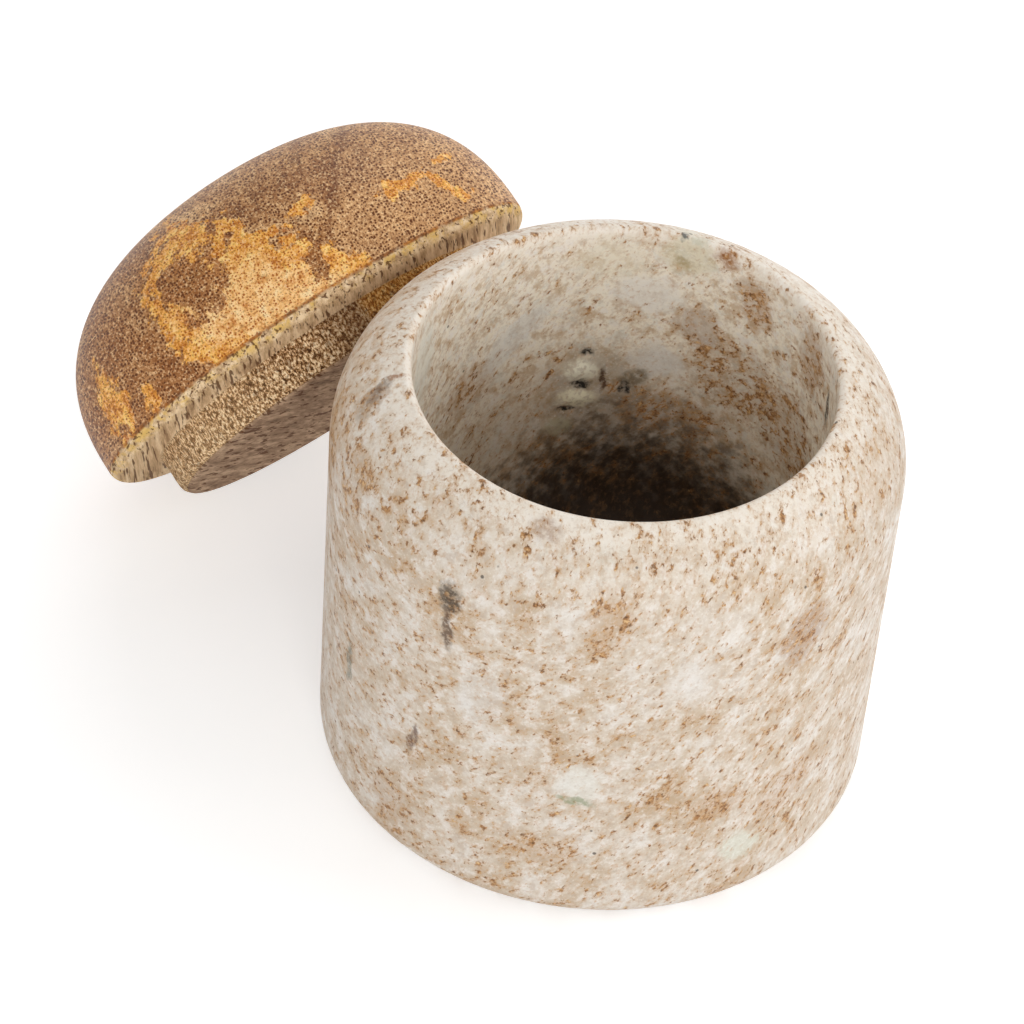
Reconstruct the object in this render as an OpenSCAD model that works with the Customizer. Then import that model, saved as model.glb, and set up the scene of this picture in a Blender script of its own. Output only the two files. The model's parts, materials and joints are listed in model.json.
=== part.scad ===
// Salt cellar: a turned stone pot with an open well, and a domed wooden lid with a plug.
// The pot stands on the table, and the lid stands on its rim and leans against the pot.

/* [Pot] */
// Widest outer diameter, where the wall meets the shoulder
pot_d = 85; // [70:0.5:110]
// Height from the table to the top of the rim
pot_h = 73; // [60:0.5:100]
// How much narrower the wall gets down to the table, on the diameter
pot_taper = 2.5; // [0:0.1:6]
// Rounding of the outer edge at the table
foot_round = 4.3; // [1:0.1:8]
// Radius of the shoulder's arc
shoulder_round = 17; // [14:0.5:20]
// Rounding of the rim, between the shoulder and the well
rim_round = 1; // [0.8:0.1:3]

/* [Well] */
// Thickness of the stone around the well, at the pot's widest place
wall_t = 11.3; // [8:0.1:14]
// Thickness of the stone under the well
floor_t = 12; // [6:0.5:20]
// Rounding between the well's wall and its floor
well_round = 14; // [4:0.5:20]

/* [Lid] */
// Clearance between the plug and the well's wall, on the radius
plug_clearance = 1.3; // [0.3:0.1:2]
// Depth of the plug under the lid's rim
plug_depth = 7.1; // [4:0.1:15]
// Rounding of the plug's lower edge
plug_round = 1.8; // [0.5:0.1:3]
// Width of the ledge around the plug, which rests on the pot's rim
ledge_w = 7.8; // [5:0.05:12]
// How much lower the ledge is at the plug than at its outer edge
ledge_drop = 0.6; // [0:0.1:2]
// Rounding of the rim's lower edge
edge_round = 2.1; // [0.5:0.1:4]
// Height of the dome above the rim's underside
dome_h = 30.1; // [18:0.1:45]
// Fullness of the dome: 2 is an ellipse, and more is squarer
dome_fullness = 2.46; // [2:0.02:3.5]

/* [Lean] */
// Direction from the pot to the leaning lid, anticlockwise from +X
lean_direction = 136.6; // [0:0.1:360]
// Turn of the lid's axis away from that direction
lean_turn = -1.4; // [-5:0.1:5]
// Rise of the lid's axis above the table's plane
lean_rise = 29.2; // [10:0.1:60]
// Gap between the lid and the pot's wall where it leans
lean_gap = 0.6; // [0.2:0.1:1]

/* [Hidden] */
$fn = 128;
arc_steps = 20;
dome_steps = 40;
right_angle = 90;

pot_r = pot_d / 2;
well_r = pot_r - wall_t;
plug_r = well_r - plug_clearance;
lid_r = plug_r + ledge_w;

// The rim's arc touches the well's wall and the inside of the shoulder's arc.
rim_out = shoulder_round - wall_t + rim_round;
rim_up = sqrt(pow(shoulder_round - rim_round, 2) - pow(rim_out, 2));
rim_centre = [well_r + rim_round, pot_h - rim_round];
shoulder_centre = [pot_r - shoulder_round, rim_centre[1] - rim_up];
rim_start = atan2(rim_up, rim_out);

// The foot's arc ends on the tapered wall.
foot_r = pot_r - pot_taper / 2 * (1 - foot_round / shoulder_centre[1]);
foot_centre = [foot_r - foot_round, foot_round];
bowl_centre = [well_r - well_round, floor_t + well_round];

// The lid stands on its outer edge. The height of that edge sets the height of the lid's origin.
plug_centre = [plug_r - plug_round, plug_round - plug_depth];
edge_centre = [lid_r - edge_round, edge_round];
lean_up = edge_centre[0] * cos(lean_rise) - edge_centre[1] * sin(lean_rise) + edge_round;

// The edge nearest the pot, the plug's or the lid's own, lies a gap away from the wall or shoulder.
lean_out = max(lean_reach(plug_centre, plug_round), lean_reach(edge_centre, edge_round));

// Distance from the pot's axis to the lid's origin at which a rounded edge just clears the pot.
function lean_reach(centre, radius) =
    let (
        up = lean_up + centre[0] * cos(lean_rise) + centre[1] * sin(lean_rise),
        rise = max(0, up - shoulder_centre[1]),
        reach = shoulder_round + lean_gap + radius,
        touch = asin(min(sin(lean_rise), rise / reach)),
        out = reach * cos(touch) - (rise - reach * sin(touch)) * tan(touch)
    )
    shoulder_centre[0] + out + centre[0] * sin(lean_rise) - centre[1] * cos(lean_rise);

// Points of an arc, from one angle to another.
function arc(centre, radius, from, to) = [
    for (i = [0 : arc_steps])
        let (angle = from + (to - from) * i / arc_steps)
        centre + radius * [cos(angle), sin(angle)]
];

// Points of the dome's side, a superellipse from the rim's widest place to the axis.
function dome_side() = [
    for (i = [1 : dome_steps])
        let (angle = right_angle * i / dome_steps)
        [
            lid_r * pow(cos(angle), 2 / dome_fullness),
            edge_round + (dome_h - edge_round) * pow(sin(angle), 2 / dome_fullness)
        ]
];

module pot_profile() {
    polygon(concat(
        [[0, 0]],
        arc(foot_centre, foot_round, -right_angle, 0),
        arc(shoulder_centre, shoulder_round, 0, rim_start),
        arc(rim_centre, rim_round, rim_start, 2 * right_angle),
        arc(bowl_centre, well_round, 0, -right_angle),
        [[0, floor_t]]
    ));
}

module lid_profile() {
    polygon(concat(
        [[0, -plug_depth]],
        arc(plug_centre, plug_round, -right_angle, 0),
        [[plug_r, -ledge_drop]],
        arc(edge_centre, edge_round, -right_angle, 0),
        dome_side()
    ));
}

module stone_pot() {
    color("antiquewhite")
        rotate_extrude()
            pot_profile();
}

module wooden_lid() {
    color("sienna")
        rotate(lean_direction)
            translate([lean_out, 0, lean_up])
                rotate([0, right_angle - lean_rise, lean_turn])
                    rotate_extrude()
                        lid_profile();
}

stone_pot();
wooden_lid();
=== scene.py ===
"""A salt cellar: a speckled stone pot with an open well, and a domed wooden lid leaning against it."""

import json
import math

import bpy
import numpy as np
from mathutils import Euler, Matrix, Vector


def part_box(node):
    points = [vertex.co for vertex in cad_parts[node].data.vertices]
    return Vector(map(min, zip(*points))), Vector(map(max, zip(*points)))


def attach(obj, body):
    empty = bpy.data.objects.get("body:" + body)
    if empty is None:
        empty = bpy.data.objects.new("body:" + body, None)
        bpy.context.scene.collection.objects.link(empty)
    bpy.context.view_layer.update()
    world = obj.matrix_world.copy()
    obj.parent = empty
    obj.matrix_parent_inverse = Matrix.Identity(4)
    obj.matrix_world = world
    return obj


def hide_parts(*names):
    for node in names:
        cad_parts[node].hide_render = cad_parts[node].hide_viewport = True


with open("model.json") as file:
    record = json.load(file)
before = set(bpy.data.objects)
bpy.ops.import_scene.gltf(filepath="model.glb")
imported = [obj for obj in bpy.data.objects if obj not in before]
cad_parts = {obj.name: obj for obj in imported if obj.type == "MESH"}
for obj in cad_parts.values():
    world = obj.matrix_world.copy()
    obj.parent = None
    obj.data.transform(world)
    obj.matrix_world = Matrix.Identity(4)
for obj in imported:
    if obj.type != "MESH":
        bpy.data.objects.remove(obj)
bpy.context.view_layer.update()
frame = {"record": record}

MM = 0.001
SEED = 7

# Sizes of the pot, in millimetres
SHOULDER_ROUND = 17.0
RIM_ROUND = 1.0
FOOT_ROUND = 4.3
TAPER = 1.25
FLOOR_T = 12.0
BOWL_ROUND = 14.0

# Sizes of the lid, in millimetres
PLUG_CLEARANCE = 1.3
PLUG_DEPTH = 7.1
PLUG_ROUND = 1.8
LEDGE_W = 7.8
LEDGE_DROP = 0.6
EDGE_ROUND = 2.1
DOME_H = 30.1
DOME_FULLNESS = 2.46

# How the lid leans, in degrees and millimetres
LEAN_DIRECTION = 136.6
LEAN_TURN = -1.4
LEAN_RISE = 29.2
LEAN_GAP = 0.6

# Direction of the wood's grain in the dome, the ledge and the plug, from the lid's own X axis, in degrees
DOME_GRAIN_TURN = -28.0
LEDGE_GRAIN_TURN = -25.5
PLUG_GRAIN_TURN = -45.0

# How far the strokes on the ledge and the plug are drawn out along the grain, across it and up
LEDGE_STRETCH = (36, 1, 1)
PLUG_STRETCH = (8, 1.5, 1.5)

# Normal of the layering in the stone, and how much thinner than wide its clouds and flakes are
STONE_LAYERING = (-0.75, -0.35, 0.56)
CLOUD_FLATNESS = 1.5
FLAKE_FLATNESS = 1.8

# Heights on the pot, in millimetres, between which each tint of painted light and painted shade goes from
# none to full
WELL_PAINTED_LIGHT = (34, 54)
SIDES_PAINTED_LIGHT = (66, 48)
SHOULDER_PAINTED_LIGHT_AND_STAIN = (62, 71)
RIM_PAINTED_LIGHT_AND_LESS_STAIN = (70.0, 72.4)
WELL_PAINTED_DIM = (47, 28)
WELL_PAINTED_SHADE = (42, 20)

# Colour of the painted shade deep in the well
DEEP_PAINTED_SHADE = (36, 20, 10)

# Distance between the grey specks in the stone, in millimetres
SPECK_GAP = 6.5

# Rust flakes in the stone: size in millimetres, limit above which noise is a flake, and fall outside clusters
FLAKES = ((2.5, 0.60, 0.06), (1.6, 0.60, 0.07), (1.0, 0.63, 0.07))

# Clouds in the stone: angle in degrees; radius, height, and half sizes across, deep and up, in millimetres;
# lean in degrees; share; how many more flakes; and colour
STONE_CLOUDS = (
    (-92, 42, 29, (3.4, 5, 4.4), 20, 0.55, -1.0, (234, 233, 225)),
    (-56, 41.5, 11.6, (3.8, 5, 2.8), 20, 0.65, -1.2, (222, 224, 210)),
    (-89, 42, 62, (3.5, 5, 6.0), 20, 0.3, 0.7, (190, 160, 130)),
    (-47, 42.5, 53, (4.6, 5, 6.0), 20, 0.6, 0.6, (168, 142, 124)),
    (-45, 42, 21, (7.0, 5, 4.0), -30, 0.35, 0.7, (186, 150, 116)),
    (-62, 42, 23, (4.0, 5, 3.0), -30, 0.35, 0.6, (186, 150, 116)),
    (-71, 42, 50, (4.6, 5, 4.4), 30, 0.35, -0.7, (232, 227, 221)),
    (-67, 42, 61, (4.6, 5, 3.8), 40, 0.35, -0.7, (234, 228, 220)),
    (-114, 42, 42, (3.8, 5, 4.8), 20, 0.4, -0.7, (226, 223, 219)),
    (-134, 42, 10, (5.0, 5, 5.0), 0, 0.4, 0.6, (180, 150, 118)),
    (-98, 42, 14, (6.0, 5, 3.0), 0, 0.3, 0.5, (190, 160, 130)),
    (-151, 39, 68, (5.0, 5, 4.0), 0, 0.2, 0.3, (224, 210, 192)),
    (97, 31, 41, (8.5, 6, 9.0), 0, 0.5, -0.6, (146, 130, 108)),
    (74, 31, 69.5, (4.4, 6, 3.6), 0, 0.4, -0.6, (196, 186, 142)),
    (96, 31, 67, (6.0, 6, 4.0), 0, 0.5, -0.6, (236, 226, 202)),
    (53, 31, 66, (3.6, 5, 4.6), 0, 0.4, 1.0, (150, 112, 82)),
    (28, 31, 65, (3.6, 5, 6.0), 0, 0.4, 1.0, (150, 110, 78)),
    (69, 31, 57, (4.0, 5, 4.0), -30, 0.5, 0.6, (160, 138, 122)),
    (122, 31, 54, (2.8, 5, 8.0), -45, 0.5, -0.8, (226, 226, 222)),
    (85, 31, 61, (5.4, 5, 3.6), 0, 0.65, -0.8, (236, 231, 222)),
    (80, 31, 48, (4.0, 5, 3.4), 0, 0.7, -1.0, (226, 222, 215)),
    (137, 31, 47, (5.0, 5, 5.0), 0, 0.3, 0.9, (170, 136, 106)),
    (58, 31, 50, (8.0, 6, 7.0), 30, 0.3, 1.2, (134, 108, 84)),
    (36, 31, 47, (7.0, 6, 8.0), 0, 0.3, 1.1, (134, 108, 84)),
    (78, 31, 38, (9.0, 6, 4.0), 0, 0.3, 1.2, (110, 82, 58)),
    (163, 31, 62, (4.0, 5, 8.0), 0, 0.5, -0.7, (232, 232, 220)),
    (-167.3, 38.4, 68.8, (2.2, 3, 2.6), 0, 0.35, 0.6, (164, 138, 112)),
    (-169.5, 36.4, 70.8, (2.0, 3, 2.2), 0, 0.45, 0.6, (150, 124, 102)),
    (-172, 40.5, 60, (7.0, 5, 7.0), 0, 0.4, 0.7, (200, 168, 134)),
    (-156, 41, 62, (5.0, 5, 5.0), 0, 0.35, 0.9, (188, 162, 134)),
    (-14, 40, 67, (8.0, 5, 5.0), 0, 0.25, -0.1, (206, 180, 152)),
)

# Spots in the stone, given in the same way, without flakes
STONE_SPOTS = (
    (-122, 42.5, 58.6, (1.9, 5, 2.8), 8, 0.9, (76, 64, 52)),
    (-122, 42.5, 52.6, (0.9, 5, 4.2), -6, 0.85, (92, 68, 50)),
    (-151, 42, 29, (1.0, 5, 4.2), 0, 0.7, (98, 104, 92)),
    (-129, 42, 26.5, (0.7, 5, 3.2), 12, 0.8, (100, 68, 50)),
    (-92, 42, 25.6, (2.8, 5, 0.8), 12, 0.75, (146, 152, 120)),
    (-166.6, 38.8, 68.4, (1.4, 2, 1.6), 0, 0.35, (142, 124, 106)),
    (-168.4, 37.2, 70.1, (1.4, 2, 1.4), 0, 0.55, (116, 100, 88)),
    (-170.6, 35.7, 71.4, (1.3, 2, 1.5), 0, 0.6, (110, 92, 78)),
    (-171.8, 33.6, 72.6, (0.5, 1.8, 1.0), 0, 0.8, (152, 100, 58)),
    (-106, 35, 72, (2.6, 1.6, 3), 0, 0.5, (150, 108, 74)),
    (101.8, 31.2, 44.8, (2.9, 5, 2.4), 0, 1.0, (250, 246, 226)),
    (102, 31.2, 39.2, (3.1, 5, 1.8), 0, 1.0, (240, 234, 208)),
    (107, 31.2, 33.6, (2.5, 5, 2.1), 0, 0.8, (188, 182, 156)),
    (86.5, 31.2, 43.6, (2.6, 5, 1.6), 40, 0.7, (112, 100, 80)),
    (100, 31.2, 48.4, (0.9, 4, 0.9), 0, 1.0, (52, 50, 44)),
    (101.3, 31.2, 42.0, (1.7, 4, 0.7), 0, 1.0, (36, 32, 26)),
    (105, 31.2, 37.0, (1.6, 4, 0.5), 0, 1.0, (36, 32, 26)),
    (95, 31.2, 42.6, (0.5, 4, 2.8), 0, 0.9, (84, 56, 34)),
    (89, 31.2, 41.4, (0.9, 4, 1.3), 0, 1.0, (40, 36, 32)),
    (76.5, 31.2, 68.4, (1.5, 4, 1.0), 0, 0.5, (158, 138, 92)),
    (63.6, 31.3, 71.8, (2.2, 2, 1.8), 0, 0.7, (158, 104, 60)),
    (77, 32, 73, (0.8, 0.8, 1), 0, 0.9, (92, 94, 90)),
    (72, 32, 73, (1.6, 0.9, 1), 0, 0.4, (182, 184, 164)),
    (14.2, 31.2, 62.2, (0.9, 4, 3.2), 0, 0.9, (58, 48, 40)),
)

# Lines that bound the main golden patch on the dome: the patch is where across times the first value, plus up
# times the second, plus the third, in millimetres, is positive for all of them
GOLD_LINES = (
    (0.755, -0.656, 10.2),
    (-1.0, 0.0, 19.3),
    (-0.64, -0.77, 27.0),
    (-0.683, 0.73, 9.4),
)

# Small golden patches: centre across and up, half widths, in millimetres, and turn in degrees
GOLD_OVALS = (
    (-7.3, 15.2, 2.8, 1.2, 0),
    (-22.2, 10.4, 3.8, 1.1, 0),
    (-28.4, 7.0, 4.8, 1.0, 51),
    (-30.1, 11.6, 1.5, 0.8, 0),
    (32.0, 7.2, 6.2, 1.8, 100),
    (26.6, 4.4, 1.1, 2.8, 10),
)

# Brown spots inside the golden wood, given in the same way
BROWN_OVALS = (
    (11.8, 13.8, 5.0, 5.7, 15),
    (-4.6, 6.6, 1.4, 3.2, 10),
    (6.2, 20.1, 1.4, 0.9, 0),
    (4.6, 17.6, 1.2, 0.9, 0),
)

# Middle and half length of every such patch and spot along the grain, in millimetres
OVAL_MIDDLE = -30
OVAL_HALF_LENGTH = 24

# Height of the line where the oiled finish ends, on the lid's edge, and the width of its fade, in millimetres
OIL_LINE = 1.9
OIL_FADE = 0.3

# Width of the cells that hold the dome's pores, in millimetres
PORE_CELL = 0.47

# Spacing of the points along a profile, in millimetres, and columns around the axis
FLAT_STEP = 3.0
WALL_STEP = 1.0
WELL_STEP = 0.5
DOME_STEP = 0.55
FINE_STEP = 0.3
DOME_SAMPLES = 600
POT_COLUMNS = 420
LID_COLUMNS = 450

# Depth of the rough cut on the plug's side, and how far it reaches inwards and outwards from there, in
# millimetres
TORN_DEPTH = 0.12
TORN_INWARDS = 0.7
TORN_OUTWARDS = 0.2

# Lumps and pits of a fossil in the well's wall: angle in degrees; height, half sizes across and up, and
# rise, in millimetres
FOSSIL = (
    (101.8, 44.8, 2.9, 2.3, 0.7),
    (102.0, 39.3, 3.1, 1.8, 0.6),
    (107.0, 33.7, 2.5, 2.2, 0.4),
    (101.5, 42.0, 1.6, 0.7, -0.7),
    (105.0, 37.0, 1.5, 0.6, -0.6),
    (95.0, 42.5, 0.7, 3.0, -0.5),
    (89.0, 41.6, 1.0, 1.5, -0.6),
    (100.0, 48.4, 0.9, 0.9, -0.5),
)

# Sizes closer than this, in millimetres, are the same
NEAR = 0.01

# The camera, in metres and degrees, with its lens and sensor in millimetres
CAMERA_AIM = (-0.01466, 0.02139, 0.02269)
CAMERA_DISTANCE = 1.069
CAMERA_RISE = 43.32
CAMERA_ROLL = 5.19
CAMERA_LENS = 246.1
CAMERA_SENSOR = 36.0

# Soft boxes: name, place and width in metres, and watts
LAMP_AIM = (-0.01, 0.02, 0.035)
LAMPS = (
    ("front_box", (0.0, -1.25, 0.5), 0.8, 7.8),
    ("right_box", (1.25, 0.1, 0.5), 0.8, 5.5),
    ("back_box", (0.0, 1.1, 0.95), 1.0, 6.2),
)

# Strength of the world's light on the object, of the white that the camera sees, and of the floor's own white
WORLD_LIGHT = 0.5
WHITE = 1.0
FLOOR_GLOW = 0.45
FLOOR_REACH = 6.0
FLOOR_SHADE = 0.82

pot_low, pot_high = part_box("stone_pot")
mouth = next(m for m in frame["record"]["mounts"] if m["name"] == "mouth")
POT_R = min(-pot_low.x, -pot_low.y, pot_high.x, pot_high.y) / MM
POT_H = pot_high.z / MM
WELL_R = mouth["dims"]["r_mm"]
PLUG_R = WELL_R - PLUG_CLEARANCE
LID_R = PLUG_R + LEDGE_W


def arc(centre, radius, start, end, step):
    """Points on a circle's arc: the centre plus the radius turned from the start angle to the end angle."""
    count = max(2, int(abs(math.radians(end - start)) * radius / step) + 1)
    angle = np.radians(np.linspace(start, end, count))
    return np.stack([centre[0] + radius * np.cos(angle), centre[1] + radius * np.sin(angle)], axis=1)


def straight(start, end, step):
    """Points on a straight line, evenly spaced from the start up to, but not at, the end."""
    length = math.dist(start, end)
    share = np.linspace(0, 1, max(2, int(length / step) + 1))[:-1, None]
    return (1 - share) * np.array(start) + share * np.array(end)


def pot_profile():
    """Half section of the pot, of arcs and straight lines, from the base's centre round the foot, wall,
    shoulder, rim and well to the well's floor."""
    rim_centre = (WELL_R + RIM_ROUND, POT_H - RIM_ROUND)
    rim_out = rim_centre[0] - (POT_R - SHOULDER_ROUND)
    rim_up = math.sqrt((SHOULDER_ROUND - RIM_ROUND) ** 2 - rim_out**2)
    shoulder_centre = (POT_R - SHOULDER_ROUND, rim_centre[1] - rim_up)
    rim_start = math.degrees(math.atan2(rim_up, rim_out))
    foot_r = POT_R - TAPER * (1 - FOOT_ROUND / shoulder_centre[1])
    foot_centre = (foot_r - FOOT_ROUND, FOOT_ROUND)
    bowl_centre = (WELL_R - BOWL_ROUND, FLOOR_T + BOWL_ROUND)
    return np.concatenate([
        straight((0, 0), (foot_centre[0], 0), FLAT_STEP),
        arc(foot_centre, FOOT_ROUND, -90, 0, WALL_STEP),
        straight((foot_r, FOOT_ROUND), (POT_R, shoulder_centre[1]), WALL_STEP)[1:],
        arc(shoulder_centre, SHOULDER_ROUND, 0, rim_start, WALL_STEP),
        arc(rim_centre, RIM_ROUND, rim_start, 180, FINE_STEP)[1:],
        straight((WELL_R, rim_centre[1]), (WELL_R, bowl_centre[1]), WELL_STEP)[1:],
        arc(bowl_centre, BOWL_ROUND, 0, -90, WALL_STEP),
        straight((bowl_centre[0], FLOOR_T), (0, FLOOR_T), FLAT_STEP)[1:],
        [(0, FLOOR_T)],
    ])


def lid_profile():
    """Half section of the lid: arcs and straight lines from the plug's centre round the plug and the ledge,
    then a superellipse over the dome, with its points evenly spaced."""
    plug_centre = (PLUG_R - PLUG_ROUND, PLUG_ROUND - PLUG_DEPTH)
    edge_centre = (LID_R - EDGE_ROUND, EDGE_ROUND)
    angle = np.linspace(0, math.pi / 2, DOME_SAMPLES)[1:]
    power = 2 / DOME_FULLNESS
    rise = DOME_H - EDGE_ROUND
    fine = np.stack([LID_R * np.cos(angle) ** power, EDGE_ROUND + rise * np.sin(angle) ** power], axis=1)
    fine[-1, 0] = 0
    along = np.concatenate([[0], np.cumsum(np.hypot(*np.diff(fine, axis=0).T))])
    even = np.linspace(0, along[-1], int(along[-1] / DOME_STEP))[1:]
    dome = np.stack([np.interp(even, along, fine[:, 0]), np.interp(even, along, fine[:, 1])], axis=1)
    return np.concatenate([
        straight((0, -PLUG_DEPTH), (plug_centre[0], -PLUG_DEPTH), DOME_STEP),
        arc(plug_centre, PLUG_ROUND, -90, 0, FINE_STEP),
        straight((PLUG_R, plug_centre[1]), (PLUG_R, -LEDGE_DROP), FINE_STEP)[1:],
        straight((PLUG_R, -LEDGE_DROP), (edge_centre[0], 0), DOME_STEP),
        arc(edge_centre, EDGE_ROUND, -90, 0, FINE_STEP),
        dome,
    ])


def lean_matrix():
    """Place of the leaning lid: its axis rises from the table's plane, its edge stands on the table, and its
    plug comes within a gap of the pot's wall."""
    rise = math.radians(LEAN_RISE)
    plug_wide = (PLUG_R - PLUG_ROUND) * math.sin(rise)
    plug_deep = (PLUG_DEPTH - PLUG_ROUND) * math.cos(rise)
    plug_reach = plug_wide + plug_deep + PLUG_ROUND
    out = POT_R + LEAN_GAP + plug_reach
    up = (LID_R - EDGE_ROUND) * math.cos(rise) + EDGE_ROUND * (1 - math.sin(rise))
    tilt = Euler((0, math.pi / 2 - rise, math.radians(LEAN_TURN))).to_matrix().to_4x4()
    around = Matrix.Rotation(math.radians(LEAN_DIRECTION), 4, "Z")
    return around @ Matrix.Translation((out * MM, 0, up * MM)) @ tilt


def turned(profile, columns):
    """Points of a profile turned round Z, as an array (rings, columns, 3), in millimetres."""
    angle = np.linspace(0, 2 * math.pi, columns, endpoint=False)
    radius, height = profile[:, :1], profile[:, 1:]
    return np.stack([radius * np.cos(angle), radius * np.sin(angle), height + 0 * angle], axis=2)


def revolved(name, rings, columns):
    """Closed mesh of a profile turned once round its axis: ring i and column j are at the profile's radius
    and height i, and at the angle 2 pi j / columns. rings is an array (rings, columns, 3). Its first and
    last rings are points on the axis, closed by fans."""
    inner = rings[1:-1]
    count = len(inner)
    points = np.concatenate([inner.reshape(-1, 3), rings[:1, 0], rings[-1:, 0]])
    column = np.arange(columns)
    beside = (column + 1) % columns
    row = np.arange(count - 1)[:, None] * columns
    quads = np.stack([row + column, row + beside, row + columns + beside, row + columns + column], axis=2)
    last = (count - 1) * columns
    first_fan = np.stack([np.full(columns, count * columns), beside, column], axis=1)
    last_fan = np.stack([np.full(columns, count * columns + 1), last + column, last + beside], axis=1)
    mesh = bpy.data.meshes.new(name)
    faces = quads.reshape(-1, 4).tolist() + first_fan.tolist() + last_fan.tolist()
    mesh.from_pydata(points.tolist(), [], faces)
    mesh.polygons.foreach_set("use_smooth", np.ones(len(mesh.polygons), bool))
    mesh.update()
    piece = bpy.data.objects.new(name, mesh)
    bpy.context.scene.collection.objects.link(piece)
    return piece


def per_vertex(values, columns):
    """A value for each ring, repeated in the order of a revolved mesh's vertices: inner rings, then poles."""
    return np.concatenate([np.repeat(values[1:-1], columns), values[:1], values[-1:]])


def mark(piece, name, values, columns):
    """A mesh attribute with one value for each ring of a revolved piece."""
    layer = piece.data.attributes.new(name, "FLOAT", "POINT")
    layer.data.foreach_set("value", per_vertex(values, columns).astype(np.float32))


def fossil_relief(angle, height):
    """Rise of the well's wall, in millimetres, at angles and heights: a sum of smooth lumps and pits. Each is
    its rise times e to the minus twice the squared distance from its centre, measured in its half sizes."""
    total = np.zeros(np.broadcast_shapes(angle.shape, height.shape))
    for centre, level, across, up, rise in FOSSIL:
        apart = (angle - math.radians(centre) + math.pi) % (2 * math.pi) - math.pi
        reach = (apart * WELL_R / across) ** 2 + ((height - level) / up) ** 2
        total += rise * np.exp(-2 * reach)
    return total


def torn_relief(rings, columns):
    """Rough cut of the plug's side, from -1 to 1: seeded random values averaged with their neighbours, more
    along the plug's depth than around it."""
    values = np.random.default_rng(SEED).standard_normal((rings, columns))
    for axis, passes in ((0, 3), (1, 1)):
        for _ in range(passes):
            values = (np.roll(values, 1, axis) + 2 * values + np.roll(values, -1, axis)) / 4
    return values / np.abs(values).max()


def srgb(red, green, blue):
    """A colour as a screen shows it, 0 to 255, turned into the linear values that a shader takes."""
    share = np.array([red, green, blue]) / 255
    linear = np.where(share <= 0.04045, share / 12.92, ((share + 0.055) / 1.055) ** 2.4)
    return (*linear.tolist(), 1.0)


class Finish:
    """A material and short ways to add nodes to it. Values may be numbers, colours or sockets."""

    def __init__(self, name):
        self.material = bpy.data.materials.new(name)
        self.material.use_nodes = True
        self.tree = self.material.node_tree
        self.shader = self.tree.nodes["Principled BSDF"]

    def put(self, socket, value):
        """Link a socket to another one, or set its value."""
        if isinstance(value, bpy.types.NodeSocket):
            self.tree.links.new(value, socket)
        else:
            socket.default_value = value

    def node(self, kind, inputs, **settings):
        """A new node with its settings and inputs."""
        made = self.tree.nodes.new(kind)
        for key, value in settings.items():
            setattr(made, key, value)
        for key, value in inputs.items():
            self.put(made.inputs[key], value)
        return made

    def place(self, location=(0, 0, 0), rotation=(0, 0, 0), scale=(1, 1, 1), vector=None, kind="POINT"):
        """Places on the object, or other vectors, moved, turned and scaled."""
        vector = vector or self.node("ShaderNodeTexCoord", {}).outputs["Object"]
        inputs = {"Vector": vector, "Location": location, "Rotation": rotation, "Scale": scale}
        return self.node("ShaderNodeMapping", inputs, vector_type=kind).outputs[0]

    def noise(self, vector, size, detail=2.0, rough=0.5):
        """Noise from 0 to 1 with lumps of a size."""
        inputs = {"Vector": vector, "Scale": 1 / size, "Detail": detail, "Roughness": rough}
        return self.node("ShaderNodeTexNoise", inputs).outputs["Fac"]

    def math(self, operation, *values):
        return self.node("ShaderNodeMath", dict(enumerate(values)), operation=operation).outputs[0]

    def plus(self, a, b):
        return self.math("ADD", a, b)

    def minus(self, a, b):
        return self.math("SUBTRACT", a, b)

    def times(self, a, b):
        return self.math("MULTIPLY", a, b)

    def larger(self, a, b):
        return self.math("MAXIMUM", a, b)

    def smaller(self, a, b):
        return self.math("MINIMUM", a, b)

    def unsigned(self, a):
        return self.math("ABSOLUTE", a)

    def root(self, a):
        return self.math("SQRT", a)

    def mask(self, value, low, high, to_low=0.0, to_high=1.0):
        """A value eased from one range to another, and held at its ends."""
        inputs = {"Value": value, "From Min": low, "From Max": high, "To Min": to_low, "To Max": to_high}
        return self.node("ShaderNodeMapRange", inputs, interpolation_type="SMOOTHSTEP").outputs[0]

    def attribute(self, name):
        return self.node("ShaderNodeAttribute", {}, attribute_name=name).outputs["Fac"]

    def height(self, vector):
        """The Z part of a vector."""
        return self.node("ShaderNodeSeparateXYZ", {"Vector": vector}).outputs[2]

    def vector_math(self, operation, inputs):
        return self.node("ShaderNodeVectorMath", inputs, operation=operation)

    def warped(self, vector, size, amount):
        """A vector pushed about by noise."""
        inputs = {"Vector": vector, "Scale": 1 / size, "Detail": 2.0}
        noise = self.node("ShaderNodeTexNoise", inputs).outputs["Color"]
        shift = self.vector_math("SUBTRACT", {0: noise, 1: (0.5, 0.5, 0.5)}).outputs[0]
        push = self.vector_math("SCALE", {0: shift, "Scale": amount}).outputs[0]
        return self.vector_math("ADD", {0: vector, 1: push}).outputs[0]

    def mix(self, share, a, b):
        """Colour a, with a share of colour b."""
        return self.node("ShaderNodeMix", {0: share, 6: a, 7: b}, data_type="RGBA").outputs[2]

    def ramp(self, value, stops):
        """A colour for a value, between stops of position and colour."""
        made = self.node("ShaderNodeValToRGB", {0: value})
        points = made.color_ramp.elements
        while len(points) < len(stops):
            points.new(0.5)
        for point, (where, colour) in zip(points, stops):
            point.position = where
            point.color = colour
        return made.outputs[0]

    def bump(self, height, distance, strength):
        """Fine relief, drawn in the shading only."""
        made = self.node("ShaderNodeBump", {"Height": height, "Distance": distance, "Strength": strength})
        self.put(self.shader.inputs["Normal"], made.outputs[0])


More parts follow.
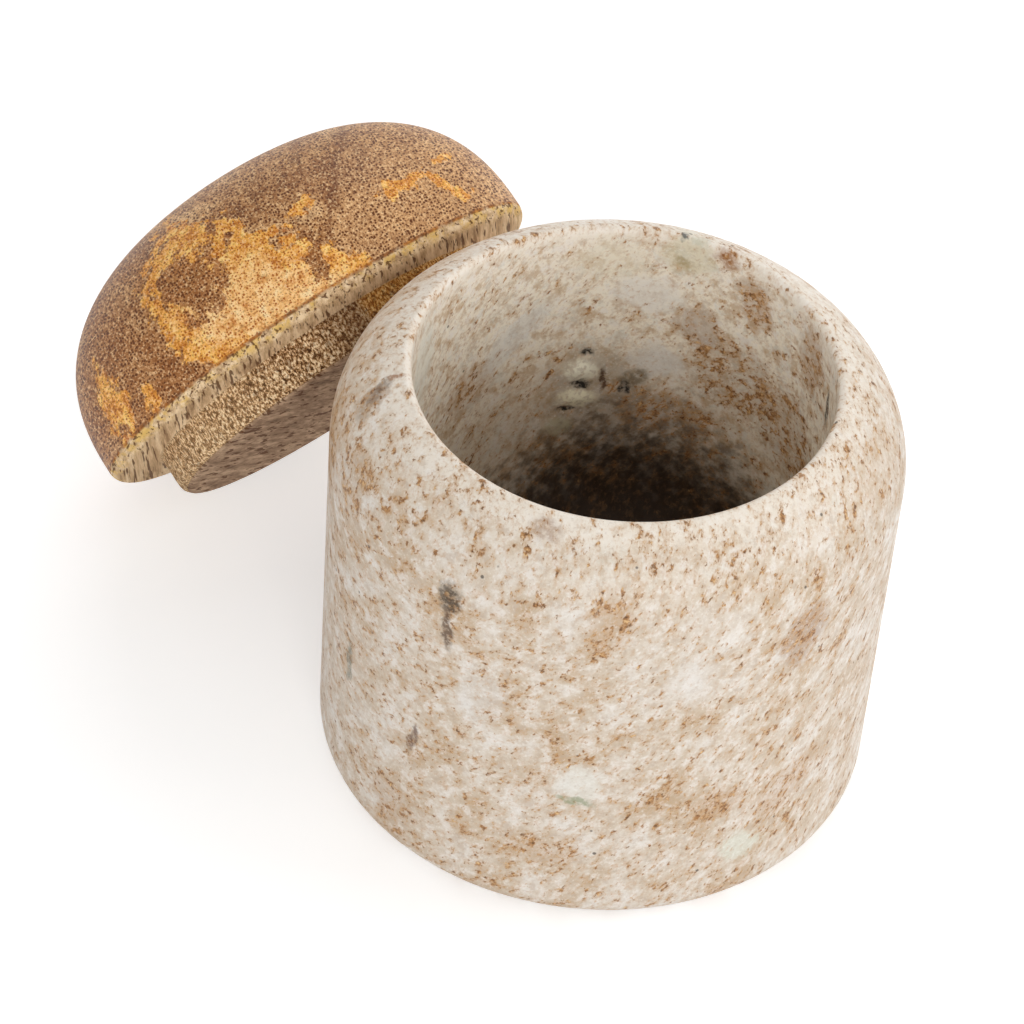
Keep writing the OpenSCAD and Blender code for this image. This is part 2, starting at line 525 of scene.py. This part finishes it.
def stone_finish():
    """Polished pale stone: white and tan clouds, sugary grain, ragged rust flakes in loose clusters, and
    spots. Painted light makes it paler on the shoulder, the rim and the well's upper wall and sides, and
    painted shade makes it dark deep in the well."""
    stone = Finish("speckled_stone")
    point = stone.place(scale=(1 / MM,) * 3)
    inside = stone.attribute("inside")
    layering = Vector(STONE_LAYERING).to_track_quat("Z", "Y").to_euler()
    layered = stone.place((0, 0, 0), layering, (MM, MM, MM / CLOUD_FLATNESS), kind="TEXTURE")
    flaky = stone.place((0, 0, 0), layering, (MM, MM, MM / FLAKE_FLATNESS), kind="TEXTURE")

    cloud = stone.noise(layered, 7.5, detail=5, rough=0.6)
    colour = stone.ramp(cloud, [
        (0.34, srgb(228, 220, 210)),
        (0.45, srgb(219, 206, 190)),
        (0.55, srgb(209, 192, 171)),
        (0.68, srgb(196, 171, 142)),
    ])
    moved = stone.warped(stone.warped(point, 4.0, 4.6), 1.2, 2.0)
    east, north, height = stone.node("ShaderNodeSeparateXYZ", {"Vector": point}).outputs
    # Painted light: paler colour on the well's upper wall and, further down, on its left and right walls.
    upper_well_painted_light = stone.times(inside, stone.mask(height, *WELL_PAINTED_LIGHT, 0.0, 0.85))
    colour = stone.mix(upper_well_painted_light, colour, srgb(254, 245, 226))
    sides = stone.mask(stone.unsigned(east), 8, 26, 0.0, 0.75)
    sides = stone.times(sides, stone.mask(height, *SIDES_PAINTED_LIGHT))
    colour = stone.mix(stone.times(sides, inside), colour, srgb(255, 246, 228))
    # Painted light: paler colour on the top-facing shoulder. The same band also sets where the tan stain
    # shows below.
    shoulder = stone.mask(height, *SHOULDER_PAINTED_LIGHT_AND_STAIN)
    colour = stone.mix(stone.times(shoulder, 0.5), colour, srgb(246, 235, 220))
    mottle = stone.noise(layered, 2.3, detail=4, rough=0.6)
    colour = stone.mix(stone.mask(mottle, 0.50, 0.36, 0.0, 0.55), colour, srgb(240, 233, 226))
    colour = stone.mix(stone.mask(mottle, 0.52, 0.66, 0.0, 0.45), colour, srgb(190, 168, 146))
    rim = stone.mask(height, *RIM_PAINTED_LIGHT_AND_LESS_STAIN)
    stain = stone.mask(stone.noise(point, 2.6, detail=5, rough=0.65), 0.48, 0.64, 0.0, 0.65)
    upper = stone.larger(inside, stone.times(shoulder, 0.65))
    upper = stone.times(upper, stone.mask(rim, 0, 1, 1.0, 0.3))
    colour = stone.mix(stone.times(stain, upper), colour, srgb(194, 162, 122))
    cool = stone.mask(stone.noise(moved, 2.4, detail=5, rough=0.65), 0.50, 0.66, 0.0, 0.6)
    colour = stone.mix(stone.times(cool, upper), colour, srgb(226, 223, 212))
    # Painted light: paler colour on the top of the rim, where the stain was also kept back.
    colour = stone.mix(stone.times(rim, 0.45), colour, srgb(250, 241, 227))

    sparse = stone.times(inside, 0.35)
    cluster = stone.minus(stone.mask(cloud, 0.38, 0.62, 0.35, 0.95), sparse)
    for *where, share, flakes, tint in STONE_CLOUDS:
        oval = stone_oval(stone, moved, *where)
        colour = stone.mix(stone.times(oval, share), colour, srgb(*tint))
        cluster = stone.plus(cluster, stone.times(oval, flakes))
    sugar = stone.noise(point, 0.5, detail=2, rough=0.6)
    colour = stone.mix(stone.mask(sugar, 0.55, 0.72, 0.0, 0.25), colour, srgb(176, 152, 132))
    colour = stone.mix(stone.mask(sugar, 0.45, 0.28, 0.0, 0.35), colour, srgb(250, 246, 240))

    # Painted shade deep in the well: the colour turns dimmer, then nearly black, toward the bottom. It is
    # strongest in the floor's corner and reaches less far down on the left and right walls.
    from_axis = stone.root(stone.plus(stone.times(east, east), stone.times(north, north)))
    deep = stone.plus(height, stone.mask(mottle, 0.3, 0.7, 4, -4))
    less_painted_shade_on_sides = stone.plus(stone.mask(east, 0, -30, 0, 20), stone.mask(east, 8, 30, 0, 6))
    deep = stone.plus(deep, less_painted_shade_on_sides)
    shade = stone.times(inside, stone.mask(from_axis, 8, 28, 0.25, 1.0))
    painted_dim = stone.times(shade, stone.mask(deep, *WELL_PAINTED_DIM, 0.0, 0.4))
    colour = stone.mix(painted_dim, colour, srgb(120, 98, 76))
    painted_darkest = stone.times(shade, stone.mask(deep, *WELL_PAINTED_SHADE))
    colour = stone.mix(stone.times(painted_darkest, 0.85), colour, srgb(*DEEP_PAINTED_SHADE))
    colour = stone_flakes(stone, colour, point, flaky, cluster)
    # More painted shade deep in the well, laid over the flakes.
    colour = stone.mix(stone.times(painted_darkest, 0.7), colour, srgb(*DEEP_PAINTED_SHADE))
    colour = stone_spots(stone, colour, point)

    stone.put(stone.shader.inputs["Base Color"], colour)
    polish = stone.plus(stone.mask(mottle, 0.3, 0.7, 0.36, 0.48), stone.times(inside, 0.14))
    stone.put(stone.shader.inputs["Roughness"], polish)
    stone.shader.inputs["Specular IOR Level"].default_value = 0.22
    stone.bump(stone.noise(layered, 0.9, detail=2), 0.02 * MM, 0.5)
    return stone.material


def stone_oval(stone, vector, angle, radius, height, halves, lean):
    """1 inside an oval about a place on the pot, and 0 outside. Its half sizes lie across, into and up the
    surface."""
    around = math.radians(angle)
    place = (radius * math.cos(around), radius * math.sin(around), height)
    turn = (0, math.radians(lean), around + math.pi / 2)
    oval = stone.place(place, turn, halves, vector=vector, kind="TEXTURE")
    reach = stone.vector_math("LENGTH", {0: oval}).outputs["Value"]
    return stone.mask(reach, 1.3, 0.6)


def stone_flakes(stone, colour, point, flaky, cluster):
    """Rust flakes with ragged edges, where a warped noise is highest, each in a soft tan halo, and a few grey
    specks. The noise is raised inside a cluster, so flakes are many there and few elsewhere."""
    ragged = stone.warped(flaky, 0.5, 0.55)
    for size, limit, depth in FLAKES:
        grain = stone.noise(stone.warped(ragged, size, size * 0.6), size, detail=3, rough=0.62)
        grain = stone.plus(grain, stone.times(stone.minus(cluster, 1.0), depth))
        halo = stone.mask(grain, limit - 0.12, limit + 0.03, 0.0, 0.45)
        colour = stone.mix(halo, colour, srgb(200, 160, 117))
        rust = stone.ramp(stone.noise(point, 0.6, detail=2, rough=0.6), [
            (0.34, srgb(98, 66, 40)),
            (0.47, srgb(148, 103, 62)),
            (0.58, srgb(182, 134, 84)),
            (0.68, srgb(226, 190, 138)),
        ])
        colour = stone.mix(stone.mask(grain, limit - 0.02, limit + 0.06, 0.0, 0.95), colour, rust)
    speck_cell = stone.node("ShaderNodeTexVoronoi", {"Vector": point, "Scale": 1 / SPECK_GAP})
    speck = stone.mask(speck_cell.outputs["Distance"], 0.055, 0.03, 0.0, 0.8)
    return stone.mix(speck, colour, srgb(74, 68, 62))


def stone_spots(stone, colour, point):
    """Single spots and veins in the stone, with edges bent and broken by noise."""
    moved = stone.warped(stone.warped(point, 2.4, 2.2), 0.7, 1.0)
    broken = stone.mask(stone.noise(point, 0.9, detail=3, rough=0.65), 0.36, 0.56, 0.4, 1.0)
    for *where, share, tint in STONE_SPOTS:
        oval = stone.times(stone_oval(stone, moved, *where), broken)
        colour = stone.mix(stone.times(oval, share), colour, srgb(*tint))
    return colour


def wood_finish(place):
    """Oiled dome and raw underside of one block of wood, with pores along the grain and golden patches."""
    wood = Finish("spalted_wood")
    oiled = wood.attribute("oiled")
    rough = wood.attribute("rough")
    plug = wood.attribute("plug")
    point = along_grain(wood, place, DOME_GRAIN_TURN)
    fibre = wood.node("ShaderNodeMix", {
        0: plug,
        4: along_grain(wood, place, LEDGE_GRAIN_TURN, LEDGE_STRETCH),
        5: along_grain(wood, place, PLUG_GRAIN_TURN, PLUG_STRETCH),
    }, data_type="VECTOR").outputs[1]

    dome, gold = dome_colour(wood, point)
    raw = raw_colour(wood, point, fibre, rough, plug)
    colour = wood.mix(oiled, raw, dome)
    up = wood.height(point)
    edge = wood.mask(wood.unsigned(wood.minus(up, OIL_LINE)), 0.42, 0.12)
    edge_tone = wood.ramp(wood.noise(point, 1.6, detail=3, rough=0.6), [
        (0.36, srgb(104, 58, 28)),
        (0.52, srgb(158, 92, 36)),
        (0.64, srgb(206, 140, 64)),
    ])
    patchy = wood.mask(wood.noise(point, 2.2, detail=3), 0.36, 0.56, 0.25, 0.9)
    colour = wood.mix(wood.times(edge, patchy), colour, edge_tone)

    dots = wood.times(oiled, dome_dots(wood, point, gold))
    colour = wood.mix(dots, colour, wood.mix(gold, srgb(98, 52, 20), srgb(164, 86, 22)))
    streak = wood.noise(wood.warped(fibre, 1.4, 0.5), 0.55, detail=2, rough=0.55)
    smooth = wood.larger(oiled, wood.times(rough, 0.4))
    strokes = wood.times(wood.mask(streak, 0.44, 0.37), wood.minus(1.0, smooth))
    colour = wood.mix(wood.times(strokes, 0.85), colour, srgb(90, 52, 24))

    wood.put(wood.shader.inputs["Base Color"], colour)
    wood.put(wood.shader.inputs["Roughness"], wood.mask(oiled, 0.0, 1.0, 0.85, 0.48))
    wood.shader.inputs["Specular IOR Level"].default_value = 0.18
    relief = wood.plus(wood.times(dots, -0.5), wood.times(strokes, -1.0))
    torn = wood.times(torn_fibre(wood, point), wood.times(rough, 6.0))
    relief = wood.plus(relief, torn)
    wood.bump(relief, 0.06 * MM, 0.8)
    return wood.material


def along_grain(wood, place, turn, stretch=(1, 1, 1)):
    """Places on the lid in millimetres, with X along the grain and Z along the lid's axis, divided by the
    stretch."""
    grain = place @ Matrix.Rotation(math.radians(turn), 4, "Z")
    scale = [part * MM for part in stretch]
    return wood.place(grain.to_translation(), grain.to_euler(), scale, kind="TEXTURE")


def dome_colour(wood, point):
    """Colour of the oiled dome without its pores, and the share of golden wood: brown zones along the grain,
    a paler zone past a dark seam, and golden patches that are strongest along their edges."""
    along, across, up = wood.node("ShaderNodeSeparateXYZ", {"Vector": point}).outputs
    fibre = wood.place(vector=point, scale=(0.1, 1, 1))
    zone = wood.noise(wood.warped(fibre, 6, 3), 7, detail=5, rough=0.65)
    dome = wood.ramp(zone, [
        (0.34, srgb(140, 90, 52)),
        (0.44, srgb(168, 116, 71)),
        (0.54, srgb(195, 144, 94)),
        (0.64, srgb(222, 177, 126)),
    ])
    mottle = wood.noise(wood.place(vector=point, scale=(0.3, 1, 1)), 1.8, detail=4, rough=0.65)
    dome = wood.mix(wood.mask(mottle, 0.50, 0.36, 0.0, 0.55), dome, srgb(112, 68, 38))
    dome = wood.mix(wood.mask(mottle, 0.52, 0.66, 0.0, 0.4), dome, srgb(228, 182, 132))
    dome = wood.mix(wood.mask(across, 10, 24, 0.0, 0.5), dome, srgb(158, 96, 46))
    seam = wood.plus(across, wood.times(up, 0.745))
    seam = wood.plus(seam, wood.mask(wood.noise(point, 3, detail=3), 0.3, 0.7, -0.8, 0.8))
    peach = wood.times(wood.mask(seam, -2.2, -3.4), wood.mask(up, 24, 6, 0.25, 0.6))
    dome = wood.mix(peach, dome, srgb(218, 170, 120))
    dark_seam = wood.mask(wood.unsigned(wood.plus(seam, 2.0)), 1.1, 0.1, 0.0, 0.5)
    dome = wood.mix(wood.times(dark_seam, wood.mask(along, 0, -10)), dome, srgb(112, 66, 40))

    gold, depth, spots = gold_patches(wood, point)
    tone = wood.noise(wood.warped(point, 2, 2), 2.2, detail=5, rough=0.7)
    strong = wood.ramp(tone, [
        (0.34, srgb(178, 100, 36)),
        (0.44, srgb(222, 147, 58)),
        (0.54, srgb(244, 178, 82)),
        (0.64, srgb(255, 210, 122)),
    ])
    pale = wood.ramp(tone, [
        (0.34, srgb(212, 142, 74)),
        (0.44, srgb(242, 184, 112)),
        (0.54, srgb(255, 208, 142)),
        (0.64, srgb(255, 225, 170)),
    ])
    inner = wood.times(wood.mask(depth, 1.5, 5.5), wood.mask(up, 17, 7))
    dome = wood.mix(gold, dome, wood.mix(inner, strong, pale))
    dome = wood.mix(wood.times(spots, 0.9), dome, wood.ramp(zone, [
        (0.38, srgb(146, 92, 52)),
        (0.62, srgb(178, 118, 70)),
    ]))
    gold = wood.times(gold, wood.minus(1.0, spots))
    grit = wood.noise(wood.place(vector=fibre, scale=(4, 1, 1)), 0.42, detail=3, rough=0.65)
    dome = wood.mix(wood.mask(grit, 0.50, 0.34, 0.0, 0.6), dome, srgb(124, 74, 34))
    dome = wood.mix(wood.mask(grit, 0.50, 0.66, 0.0, 0.65), dome, srgb(255, 216, 164))
    return dome, gold


def gold_patches(wood, point):
    """Share of golden wood, depth inside its main patch, and share of the brown spots in it. The main patch
    lies inside four slanting lines across the grain, ovals add small patches, and noise bends every edge."""
    moved = wood.warped(wood.warped(point, 7.0, 5.0), 2.0, 2.5)
    ragged = wood.mask(wood.noise(point, 2.4, detail=7, rough=0.72), 0.3, 0.7, -1.0, 1.0)
    along = wood.node("ShaderNodeSeparateXYZ", {"Vector": moved}).outputs[0]
    depth = LID_R
    for to_across, to_up, offset in GOLD_LINES:
        line = wood.vector_math("DOT_PRODUCT", {0: moved, 1: (0, to_across, to_up)}).outputs["Value"]
        depth = wood.smaller(depth, wood.plus(line, offset))
    depth = wood.plus(depth, wood.times(ragged, 2.4))
    front = wood.mask(along, 2, -6)
    gold = wood.times(wood.mask(depth, -0.2, 0.2), front)
    for oval in GOLD_OVALS:
        gold = wood.larger(gold, oval_share(wood, moved, ragged, *oval))
    spots = 0.0
    for oval in BROWN_OVALS:
        spots = wood.larger(spots, oval_share(wood, moved, ragged, *oval))
    behind = wood.mask(wood.noise(moved, 15, detail=2), 0.56, 0.58)
    gold = wood.larger(gold, wood.times(behind, wood.mask(along, -2, 8)))
    return gold, depth, wood.times(spots, front)


def oval_share(wood, vector, ragged, centre_u, centre_v, half_u, half_v, turn):
    """1 inside a ragged oval column that runs along the grain on the lid's near side, 0 outside it."""
    centre = (OVAL_MIDDLE, centre_u, centre_v)
    halves = (OVAL_HALF_LENGTH, half_u, half_v)
    oval = wood.place(centre, (math.radians(turn), 0, 0), halves, vector=vector, kind="TEXTURE")
    reach = wood.vector_math("LENGTH", {0: oval}).outputs["Value"]
    return wood.mask(wood.plus(reach, wood.times(ragged, 0.45)), 1.08, 0.92)


def dome_dots(wood, point, gold):
    """Fine pores seen end on: dots of unequal width on cells across the grain, broken along the grain by
    noise."""
    wavy = wood.warped(point, 2.5, 0.8)
    _, across, up = wood.node("ShaderNodeSeparateXYZ", {"Vector": wavy}).outputs
    end_on = wood.node("ShaderNodeCombineXYZ", {0: across, 1: up}).outputs[0]
    inputs = {"Vector": end_on, "Scale": 1 / PORE_CELL, "Randomness": 0.85}
    cell = wood.node("ShaderNodeTexVoronoi", inputs, voronoi_dimensions="2D")
    pick = wood.node("ShaderNodeSeparateColor", {"Color": cell.outputs["Color"]}).outputs[0]
    width = wood.minus(wood.mask(pick, 0.0, 1.0, 0.10, 0.40), wood.times(gold, 0.09))
    dot = wood.mask(wood.minus(cell.outputs["Distance"], width), 0.17, -0.12)
    stretch = wood.place(vector=point, scale=(0.5, 1, 1))
    broken = wood.mask(wood.noise(stretch, 0.9, detail=2, rough=0.6), 0.26, 0.46)
    return wood.times(dot, broken)


def raw_colour(wood, point, fibre, rough, plug):
    """Colour of the raw wood: a beige ledge with yellow tints along its edge, a taupe plug, and the plug's
    torn side, with painted light at one end, painted shade at the other, and a golden patch."""
    along, across, up = wood.node("ShaderNodeSeparateXYZ", {"Vector": point}).outputs
    zone = wood.noise(fibre, 1.2, detail=5, rough=0.75)
    ledge = wood.ramp(zone, [
        (0.34, srgb(162, 130, 96)),
        (0.48, srgb(214, 182, 142)),
        (0.62, srgb(246, 220, 182)),
    ])
    yellow = wood.mask(wood.noise(point, 2.2, detail=6, rough=0.75), 0.46, 0.60, 0.0, 0.8)
    ledge = wood.mix(wood.times(yellow, wood.mask(up, -0.3, 1.0)), ledge, srgb(230, 190, 104))
    under = wood.ramp(zone, [
        (0.34, srgb(122, 96, 74)),
        (0.48, srgb(168, 138, 112)),
        (0.62, srgb(208, 178, 148)),
    ])
    torn = wood.ramp(torn_fibre(wood, point), [
        (0.40, srgb(72, 44, 22)),
        (0.47, srgb(160, 116, 74)),
        (0.53, srgb(212, 172, 124)),
        (0.60, srgb(255, 232, 194)),
    ])
    # Painted light at one end of the torn side, then painted shade toward the other end.
    torn = wood.mix(wood.mask(across, 6, 20, 0.0, 0.15), torn, srgb(240, 202, 150))
    torn = wood.mix(wood.mask(across, 4, -6, 0.0, 0.45), torn, srgb(98, 64, 36))
    golden = wood.ramp(torn_fibre(wood, point), [
        (0.42, srgb(158, 98, 38)),
        (0.52, srgb(226, 164, 80)),
        (0.60, srgb(252, 214, 140)),
    ])
    patch = wood.times(wood.mask(across, -6, -9), wood.mask(along, 0, -8))
    patch = wood.times(patch, wood.mask(wood.noise(point, 3.0, detail=5, rough=0.7), 0.40, 0.50, 0.2, 0.8))
    torn = wood.mix(wood.times(patch, wood.mask(up, -5.5, -3.0)), torn, golden)
    return wood.mix(rough, wood.mix(plug, ledge, under), torn)


def torn_fibre(wood, point):
    """Noise drawn out along the lid's axis, as the cutter tears the wood on the plug's side."""
    return wood.noise(wood.place(vector=point, scale=(1, 1, 0.6)), 0.36, detail=3, rough=0.7)


def build_pot():
    """The stone pot: its turned profile, with the fossil's relief pressed into the well's wall."""
    profile = pot_profile()
    rings = turned(profile, POT_COLUMNS)
    radius, height = profile.T
    in_well = (radius <= WELL_R + NEAR) & (height > FLOOR_T - NEAR)
    angle = np.linspace(0, 2 * math.pi, POT_COLUMNS, endpoint=False)
    on_wall = np.flatnonzero(np.abs(radius - WELL_R) < NEAR)
    relief = fossil_relief(angle, height[on_wall, None])
    rings[on_wall, :, :2] *= (1 - relief / WELL_R)[:, :, None]
    pot = revolved("pot_stone", rings * MM, POT_COLUMNS)
    mark(pot, "inside", in_well.astype(float), POT_COLUMNS)
    pot.data.materials.append(stone_finish())
    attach(pot, "pot")
    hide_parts("stone_pot")


def build_lid():
    """The wooden lid: its turned profile, with the plug's side cut rough, put in its leaning place."""
    place = lean_matrix()
    profile = lid_profile()
    rings = turned(profile, LID_COLUMNS)
    radius, height = profile.T
    beside_plug = (radius > PLUG_R - TORN_INWARDS) & (radius < PLUG_R + TORN_OUTWARDS) & (height < 0)
    torn = torn_relief(len(profile), LID_COLUMNS) * beside_plug[:, None]
    rings[beside_plug, :, :2] *= (1 + TORN_DEPTH * (torn[beside_plug] - 1) / PLUG_R)[:, :, None]
    turn = np.array(place.to_3x3())
    rings = rings * MM @ turn.T + np.array(place.to_translation())
    lid = revolved("lid_wood", rings, LID_COLUMNS)
    mark(lid, "oiled", np.clip((height - OIL_LINE) / OIL_FADE + 0.5, 0, 1), LID_COLUMNS)
    mark(lid, "rough", beside_plug.astype(float), LID_COLUMNS)
    mark(lid, "plug", (height < -LEDGE_DROP - NEAR).astype(float), LID_COLUMNS)
    lid.data.materials.append(wood_finish(place))
    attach(lid, "lid")
    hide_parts("wooden_lid")


def seen(tree, strength, otherwise):
    """One strength for what the camera sees, straight, mirrored or through glass, and another for all other
    light."""
    path = tree.nodes.new("ShaderNodeLightPath")
    direct = tree.nodes.new("ShaderNodeMath")
    direct.operation = "MAXIMUM"
    tree.links.new(path.outputs["Is Camera Ray"], direct.inputs[0])
    tree.links.new(path.outputs["Is Glossy Ray"], direct.inputs[1])
    either = tree.nodes.new("ShaderNodeMath")
    either.operation = "MAXIMUM"
    tree.links.new(direct.outputs[0], either.inputs[0])
    tree.links.new(path.outputs["Is Transmission Ray"], either.inputs[1])
    level = tree.nodes.new("ShaderNodeMapRange")
    level.inputs["To Min"].default_value = otherwise
    level.inputs["To Max"].default_value = strength
    tree.links.new(either.outputs[0], level.inputs["Value"])
    return level.outputs[0]


def build_floor():
    """A pale floor that looks white to the camera and keeps a soft shadow."""
    reach = FLOOR_REACH
    corners = [(-reach, -reach, 0), (reach, -reach, 0), (reach, reach, 0), (-reach, reach, 0)]
    mesh = bpy.data.meshes.new("floor")
    mesh.from_pydata(corners, [], [(0, 1, 2, 3)])
    floor = bpy.data.objects.new("floor", mesh)
    bpy.context.scene.collection.objects.link(floor)
    finish = Finish("pale_floor")
    finish.shader.inputs["Base Color"].default_value = (FLOOR_SHADE, FLOOR_SHADE, FLOOR_SHADE, 1)
    finish.shader.inputs["Roughness"].default_value = 0.9
    finish.shader.inputs["Specular IOR Level"].default_value = 0.0
    finish.put(finish.shader.inputs["Emission Strength"], seen(finish.tree, FLOOR_GLOW, 0.0))
    finish.shader.inputs["Emission Color"].default_value = (1, 1, 1, 1)
    mesh.materials.append(finish.material)


def lamp(name, place, aim, width, watts):
    """A square soft box at a place, turned to face its aim."""
    light = bpy.data.lights.new(name, "AREA")
    light.size = width
    light.energy = watts
    box = bpy.data.objects.new(name, light)
    facing = (Vector(aim) - Vector(place)).to_track_quat("-Z", "Y")
    box.matrix_world = Matrix.Translation(place) @ facing.to_matrix().to_4x4()
    bpy.context.scene.collection.objects.link(box)


def light_scene():
    """An even white world and three soft boxes."""
    world = bpy.data.worlds.new("studio")
    world.use_nodes = True
    background = world.node_tree.nodes["Background"]
    background.inputs["Color"].default_value = (1, 1, 1, 1)
    strength = seen(world.node_tree, WHITE, WORLD_LIGHT)
    world.node_tree.links.new(strength, background.inputs["Strength"])
    bpy.context.scene.world = world
    for name, place, width, watts in LAMPS:
        lamp(name, place, LAMP_AIM, width, watts)


def set_camera():
    """A long lens at the photograph's angle: it looks down at its aim from a distance, rolled a little."""
    rise = math.radians(90 - CAMERA_RISE)
    turn = Euler((rise, 0, 0)).to_matrix() @ Matrix.Rotation(math.radians(CAMERA_ROLL), 3, "Z")
    camera = bpy.data.objects.new("camera", bpy.data.cameras.new("camera"))
    back = turn @ Vector((0, 0, CAMERA_DISTANCE))
    camera.matrix_world = Matrix.Translation(Vector(CAMERA_AIM) + back) @ turn.to_4x4()
    camera.data.sensor_width = CAMERA_SENSOR
    camera.data.lens = CAMERA_LENS
    bpy.context.scene.collection.objects.link(camera)
    bpy.context.scene.camera = camera


build_pot()
build_lid()
build_floor()
light_scene()
set_camera()
bpy.context.scene.view_settings.view_transform = "Standard"
